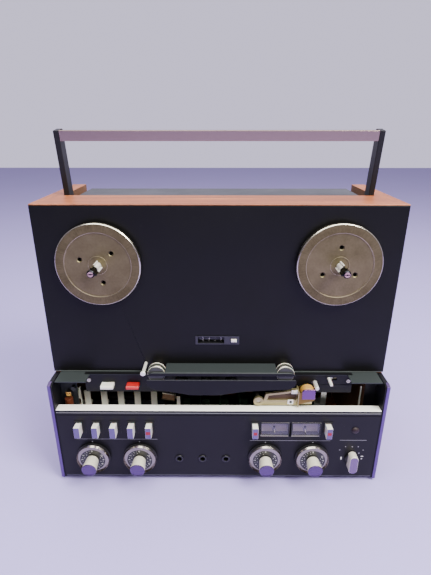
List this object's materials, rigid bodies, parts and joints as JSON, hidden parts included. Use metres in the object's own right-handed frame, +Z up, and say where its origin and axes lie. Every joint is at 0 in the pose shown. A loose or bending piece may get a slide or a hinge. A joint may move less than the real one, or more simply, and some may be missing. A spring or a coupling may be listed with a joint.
{
  "type": "reel-to-reel tape recorder",
  "caption": "Upright reel-to-reel tape recorder in a wooden case, with reel tables, tape path with hinged head cover, keys, meters, dials and a fold-back carrying handle.",
  "frame": {"origin": "on the table, under the middle of the whole machine with its handle up", "axes": "+X to the right seen from the front, +Y to the back, +Z up; the controls face -Y"},
  "size_m": [0.413, 0.207, 0.4343],
  "materials": {
    "veneer": "satin",
    "deck_black": "satin",
    "panel_black": "satin",
    "cover_grey": "matte",
    "shelf_grey": "satin",
    "cheek_black": "satin",
    "bright_trim": "brushed",
    "chassis_zinc": "matte",
    "motor_grey": "matte",
    "core_iron": "matte",
    "board_green": "matte",
    "contact_nickel": "polished",
    "shaft_steel": "ground",
    "roller_cream": "gloss",
    "guide_chrome": "polished",
    "head_cover_grey": "satin",
    "flap_black": "satin",
    "head_metal": "ground",
    "sub_black": "satin",
    "white_plastic": "satin",
    "red_plastic": "satin",
    "red_lamp": "gloss",
    "arm_bronze": "satin",
    "roller_rubber": "matte",
    "coil_brown": "satin",
    "comb_white": "matte",
    "bracket_grey": "satin",
    "meter_case": "gloss",
    "needle_black": "matte",
    "table_metal": "turned",
    "spindle_chrome": "polished",
    "dial_face": "satin",
    "knob_silver": "spun",
    "pot_steel": "plated",
    "jack_nickel": "polished",
    "counter_black": "satin",
    "arm_black": "satin",
    "bar_silver": "satin",
    "foot_rubber": "matte"
  },
  "bodies": {
    "cabinet": {"wooden_cabinet": "veneer", "rear_cover": "cover_grey", "rear_connectors": "contact_nickel", "rubber_feet": "foot_rubber", "deck_plate": "deck_black", "transport_chassis": "chassis_zinc", "drive_motors": "motor_grey", "guide_pin": "guide_chrome", "head_cover": "head_cover_grey", "tape_heads": "head_metal", "shelf": "shelf_grey", "sub_panel": "sub_black", "pinch_solenoid": "coil_brown", "side_cheeks": "cheek_black", "aluminium_trims": "bright_trim", "control_panel": "panel_black", "key_switch_block": "comb_white", "capacitor_bracket": "bracket_grey", "vu_meter_cases": "meter_case", "potentiometers": "pot_steel", "front_jacks": "jack_nickel", "lamp_lens": "red_lamp", "counter_housing": "counter_black", "power_supply": "core_iron", "circuit_boards": "board_green"},
    "reel_table_left": {"reel_table_left": "table_metal"},
    "spindle_lock_left": {"spindle_lock_left": "spindle_chrome"},
    "reel_table_right": {"reel_table_right": "table_metal"},
    "spindle_lock_right": {"spindle_lock_right": "spindle_chrome"},
    "capstan_shaft": {"capstan_shaft": "shaft_steel"},
    "guide_roller_left": {"guide_roller_left": "roller_cream"},
    "guide_roller_right": {"guide_roller_right": "roller_cream"},
    "head_cover_flap": {"head_cover_flap": "flap_black"},
    "white_button": {"white_button": "white_plastic"},
    "red_button": {"red_button": "red_plastic"},
    "tension_lever": {"tension_lever": "white_plastic"},
    "pinch_arm": {"pinch_arm": "arm_bronze"},
    "pinch_roller": {"pinch_roller": "roller_rubber"},
    "transport_key_1": {"transport_key_1": "white_plastic"},
    "transport_key_2": {"transport_key_2": "white_plastic"},
    "transport_key_3": {"transport_key_3": "white_plastic"},
    "transport_key_4": {"transport_key_4": "white_plastic"},
    "transport_key_5": {"transport_key_5": "white_plastic"},
    "record_key_left": {"record_key_left": "white_plastic"},
    "record_key_right": {"record_key_right": "white_plastic"},
    "level_dial_1": {"level_dial_1": "dial_face"},
    "level_knob_1": {"level_knob_1": "knob_silver"},
    "level_dial_2": {"level_dial_2": "dial_face"},
    "level_knob_2": {"level_knob_2": "knob_silver"},
    "level_dial_3": {"level_dial_3": "dial_face"},
    "level_knob_3": {"level_knob_3": "knob_silver"},
    "level_dial_4": {"level_dial_4": "dial_face"},
    "level_knob_4": {"level_knob_4": "knob_silver"},
    "selector_knob": {"selector_knob": "knob_silver"},
    "vu_needle_left": {"vu_needle_left": "needle_black"},
    "vu_needle_right": {"vu_needle_right": "needle_black"},
    "counter_units_wheel": {"counter_units_wheel": "counter_black"},
    "counter_reset": {"counter_reset": "white_plastic"},
    "handle": {"handle_arms": "arm_black", "handle_bar": "bar_silver"}
  },
  "joints": [
    {"name": "reel_left_spin", "type": "hinge", "parent": "cabinet", "child": "reel_table_left", "pos_m": [-0.135, -0.0606, 0.292], "axis": [0, -1, 0], "continuous": true},
    {"name": "spindle_lock_left_turn", "type": "hinge", "parent": "reel_table_left", "child": "spindle_lock_left", "pos_m": [-0.135, -0.0744, 0.292], "axis": [0, -1, 0], "range_deg": [0, 60]},
    {"name": "reel_right_spin", "type": "hinge", "parent": "cabinet", "child": "reel_table_right", "pos_m": [0.135, -0.0606, 0.292], "axis": [0, -1, 0], "continuous": true},
    {"name": "spindle_lock_right_turn", "type": "hinge", "parent": "reel_table_right", "child": "spindle_lock_right", "pos_m": [0.135, -0.0744, 0.292], "axis": [0, -1, 0], "range_deg": [0, 60]},
    {"name": "capstan_spin", "type": "hinge", "parent": "cabinet", "child": "capstan_shaft", "pos_m": [0.12075, -0.051, 0.13773], "axis": [0, -1, 0], "continuous": true},
    {"name": "guide_roller_left_spin", "type": "hinge", "parent": "cabinet", "child": "guide_roller_left", "pos_m": [-0.075, -0.0606, 0.1573], "axis": [0, -1, 0], "continuous": true},
    {"name": "guide_roller_right_spin", "type": "hinge", "parent": "cabinet", "child": "guide_roller_right", "pos_m": [0.081, -0.0606, 0.1573], "axis": [0, -1, 0], "continuous": true},
    {"name": "flap_fold", "type": "hinge", "parent": "cabinet", "child": "head_cover_flap", "pos_m": [0, -0.068, 0.134], "axis": [1, 0, 0], "range_deg": [0, 90]},
    {"name": "white_button_press", "type": "slide", "parent": "cabinet", "child": "white_button", "axis": [0, 1, 0], "range_m": [0, 0.003], "stiffness_N_per_m": 300, "springref_m": -0.001},
    {"name": "red_button_press", "type": "slide", "parent": "cabinet", "child": "red_button", "axis": [0, 1, 0], "range_m": [0, 0.003], "stiffness_N_per_m": 300, "springref_m": -0.001},
    {"name": "tension_lever_slide", "type": "slide", "parent": "cabinet", "child": "tension_lever", "axis": [1, 0, 0], "range_m": [0, 0.008]},
    {"name": "pinch_arm_swing", "type": "hinge", "parent": "cabinet", "child": "pinch_arm", "pos_m": [0.05, -0.065, 0.118], "axis": [0, -1, 0], "range_deg": [0, 5], "stiffness_Nm_per_rad": 0.4, "springref_deg": -5.73},
    {"name": "pinch_roller_spin", "type": "hinge", "parent": "pinch_arm", "child": "pinch_roller", "pos_m": [0.1105, -0.0604, 0.1293], "axis": [0, -1, 0], "continuous": true},
    {"name": "transport_key_1_press", "type": "slide", "parent": "cabinet", "child": "transport_key_1", "axis": [0, 1, 0], "range_m": [0, 0.004], "stiffness_N_per_m": 400, "springref_m": -0.001},
    {"name": "transport_key_2_press", "type": "slide", "parent": "cabinet", "child": "transport_key_2", "axis": [0, 1, 0], "range_m": [0, 0.004], "stiffness_N_per_m": 400, "springref_m": -0.001},
    {"name": "transport_key_3_press", "type": "slide", "parent": "cabinet", "child": "transport_key_3", "axis": [0, 1, 0], "range_m": [0, 0.004], "stiffness_N_per_m": 400, "springref_m": -0.001},
    {"name": "transport_key_4_press", "type": "slide", "parent": "cabinet", "child": "transport_key_4", "axis": [0, 1, 0], "range_m": [0, 0.004], "stiffness_N_per_m": 400, "springref_m": -0.001},
    {"name": "transport_key_5_press", "type": "slide", "parent": "cabinet", "child": "transport_key_5", "axis": [0, 1, 0], "range_m": [0, 0.004], "stiffness_N_per_m": 400, "springref_m": -0.001},
    {"name": "record_key_left_press", "type": "slide", "parent": "cabinet", "child": "record_key_left", "axis": [0, 1, 0], "range_m": [0, 0.004], "stiffness_N_per_m": 400, "springref_m": -0.001},
    {"name": "record_key_right_press", "type": "slide", "parent": "cabinet", "child": "record_key_right", "axis": [0, 1, 0], "range_m": [0, 0.004], "stiffness_N_per_m": 400, "springref_m": -0.001},
    {"name": "level_dial_1_turn", "type": "hinge", "parent": "cabinet", "child": "level_dial_1", "pos_m": [-0.16, -0.0784, 0.0395], "axis": [0, 1, 0], "range_deg": [0, 300]},
    {"name": "level_knob_1_turn", "type": "hinge", "parent": "cabinet", "child": "level_knob_1", "pos_m": [-0.16, -0.0784, 0.0395], "axis": [0, 1, 0], "range_deg": [0, 300]},
    {"name": "level_dial_2_turn", "type": "hinge", "parent": "cabinet", "child": "level_dial_2", "pos_m": [-0.1, -0.0784, 0.0395], "axis": [0, 1, 0], "range_deg": [0, 300]},
    {"name": "level_knob_2_turn", "type": "hinge", "parent": "cabinet", "child": "level_knob_2", "pos_m": [-0.1, -0.0784, 0.0395], "axis": [0, 1, 0], "range_deg": [0, 300]},
    {"name": "level_dial_3_turn", "type": "hinge", "parent": "cabinet", "child": "level_dial_3", "pos_m": [0.06, -0.0784, 0.0395], "axis": [0, 1, 0], "range_deg": [0, 300]},
    {"name": "level_knob_3_turn", "type": "hinge", "parent": "cabinet", "child": "level_knob_3", "pos_m": [0.06, -0.0784, 0.0395], "axis": [0, 1, 0], "range_deg": [0, 300]},
    {"name": "level_dial_4_turn", "type": "hinge", "parent": "cabinet", "child": "level_dial_4", "pos_m": [0.12, -0.0784, 0.0395], "axis": [0, 1, 0], "range_deg": [0, 300]},
    {"name": "level_knob_4_turn", "type": "hinge", "parent": "cabinet", "child": "level_knob_4", "pos_m": [0.12, -0.0784, 0.0395], "axis": [0, 1, 0], "range_deg": [0, 300]},
    {"name": "selector_turn", "type": "hinge", "parent": "cabinet", "child": "selector_knob", "pos_m": [0.171, -0.0784, 0.0395], "axis": [0, 1, 0], "range_deg": [-90, 90]},
    {"name": "vu_needle_left_swing", "type": "hinge", "parent": "cabinet", "child": "vu_needle_left", "pos_m": [0.0709, -0.0698, 0.0772], "axis": [0, 1, 0], "range_deg": [0, 84], "stiffness_Nm_per_rad": 0.0002, "springref_deg": -11.46},
    {"name": "vu_needle_right_swing", "type": "hinge", "parent": "cabinet", "child": "vu_needle_right", "pos_m": [0.1099, -0.0698, 0.0772], "axis": [0, 1, 0], "range_deg": [0, 84], "stiffness_Nm_per_rad": 0.0002, "springref_deg": -11.46},
    {"name": "counter_spin", "type": "hinge", "parent": "cabinet", "child": "counter_units_wheel", "pos_m": [0.004, -0.0412, 0.1941], "axis": [1, 0, 0], "continuous": true},
    {"name": "counter_reset_press", "type": "slide", "parent": "cabinet", "child": "counter_reset", "axis": [0, 1, 0], "range_m": [0, 0.0018], "stiffness_N_per_m": 200, "springref_m": -0.001},
    {"name": "handle_fold", "type": "hinge", "parent": "cabinet", "child": "handle", "pos_m": [0, 0.0182, 0.3508], "axis": [-1, 0, 0], "range_deg": [0, 98.4]}
  ],
  "couplings": [
    {"joint": "counter_spin", "follows": "reel_right_spin", "ratio": 0.1}
  ]
}
